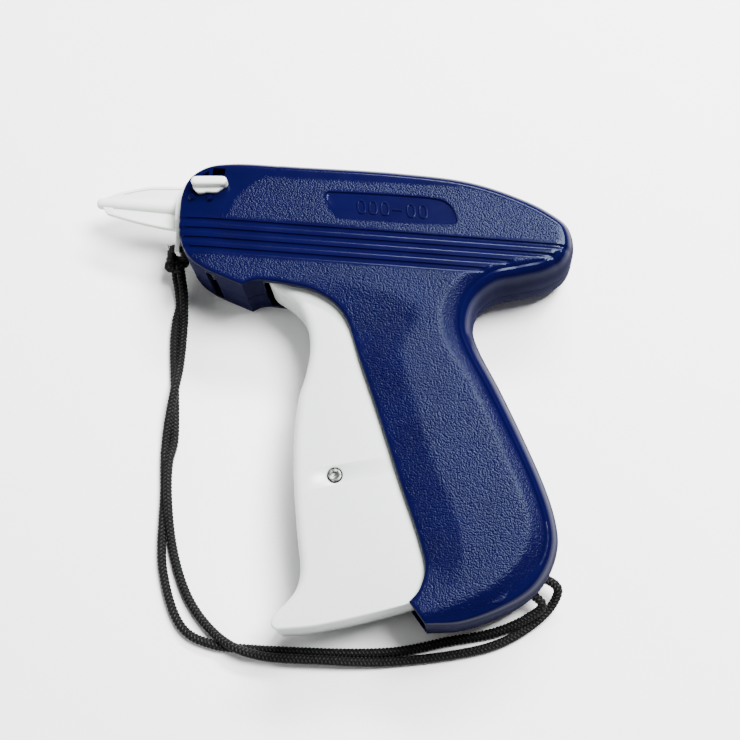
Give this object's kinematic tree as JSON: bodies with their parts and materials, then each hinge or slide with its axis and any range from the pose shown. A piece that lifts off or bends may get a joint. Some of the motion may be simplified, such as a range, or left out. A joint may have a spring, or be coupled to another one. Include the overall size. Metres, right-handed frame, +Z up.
{
  "type": "tagging gun",
  "caption": "Hand-held gun that drives plastic tag fasteners through a needle: two-part body, squeeze trigger, lock lever, pull-off needle cap on a cord.",
  "frame": {"origin": "under the middle of the gun, on the surface that the right side face rests on", "axes": "+X along the needle axis from the muzzle to the back, +Y towards the top of the gun, +Z up from the surface, out of the left side face"},
  "size_m": [0.1578, 0.1552, 0.0322],
  "materials": {
    "shell_blue": "moulded ABS with a fine leather grain, smooth and glossy at the nose",
    "trigger_white": "moulded, satin gloss",
    "cap_white": "moulded, satin gloss",
    "lever_white": "moulded, glossy",
    "inner_white": "moulded acetal",
    "pin_grey": "dull, faintly mottled",
    "steel": "zinc plated",
    "needle_steel": "polished",
    "spring_steel": "bright wire",
    "cord_black": "braided polyester with a few pale fibres"
  },
  "bodies": {
    "housing": {"left_housing": "shell_blue", "right_housing": "shell_blue", "housing_screw_1": "steel", "housing_screw_2": "steel", "housing_screw_3": "steel", "housing_screw_4": "steel", "trigger_pivot_pin": "steel", "lever_bracket": "steel", "lever_pivot_pin": "steel", "return_spring": "spring_steel", "needle": "needle_steel", "needle_base": "inner_white", "clip_guide": "inner_white", "cutter_blade": "needle_steel", "feed_wheel_axle": "steel", "pawl_pin": "steel", "lanyard_cord": "cord_black"},
    "trigger": {"trigger": "trigger_white", "link_pin": "pin_grey"},
    "drive_lever": {"drive_lever": "inner_white"},
    "plunger": {"plunger_slide": "inner_white", "plunger_rod": "needle_steel"},
    "feed_wheel": {"feed_wheel": "inner_white"},
    "feed_pawl": {"feed_pawl": "inner_white"},
    "lock_lever": {"lock_lever": "lever_white", "lock_clip": "spring_steel"},
    "needle_cap": {"needle_cap": "cap_white", "cord_knot": "cord_black"}
  },
  "joints": [
    {"name": "trigger_squeeze", "type": "hinge", "parent": "housing", "child": "trigger", "pos_m": [-0.006, 0.05, 0.014], "axis": [0, 0, 1], "range_deg": [0, 19], "stiffness_Nm_per_rad": 1.6, "springref_deg": -11.46},
    {"name": "drive_lever_swing", "type": "hinge", "parent": "housing", "child": "drive_lever", "pos_m": [0.022, 0.007, 0.014], "axis": [0, 0, 1], "range_deg": [0, 45.2], "deforming": ["return_spring"]},
    {"name": "plunger_slide", "type": "slide", "parent": "housing", "child": "plunger", "axis": [-1, 0, 0], "range_m": [0, 0.0425]},
    {"name": "feed_wheel_turn", "type": "hinge", "parent": "housing", "child": "feed_wheel", "pos_m": [-0.0275, 0.0472, 0.014], "axis": [0, 0, 1], "range_deg": [0, 30]},
    {"name": "feed_pawl_tilt", "type": "hinge", "parent": "housing", "child": "feed_pawl", "pos_m": [-0.016, 0.0546, 0.014], "axis": [0, 0, 1], "range_deg": [-12, 0]},
    {"name": "lock_lever_turn", "type": "hinge", "parent": "housing", "child": "lock_lever", "pos_m": [-0.0413, 0.0626, 0.03], "axis": [0, 0, 1], "range_deg": [0, 90]},
    {"name": "needle_cap_pull", "type": "slide", "parent": "housing", "child": "needle_cap", "axis": [-1, 0, 0], "range_m": [0, 0.03]}
  ],
  "couplings": [
    {"joint": "drive_lever_swing", "follows": "trigger_squeeze", "ratio": 2.378},
    {"joint": "plunger_slide", "follows": "trigger_squeeze", "m_per_rad": 0.1278},
    {"joint": "feed_wheel_turn", "follows": "trigger_squeeze", "ratio": 1.578},
    {"joint": "feed_pawl_tilt", "follows": "trigger_squeeze", "ratio": -0.631}
  ]
}
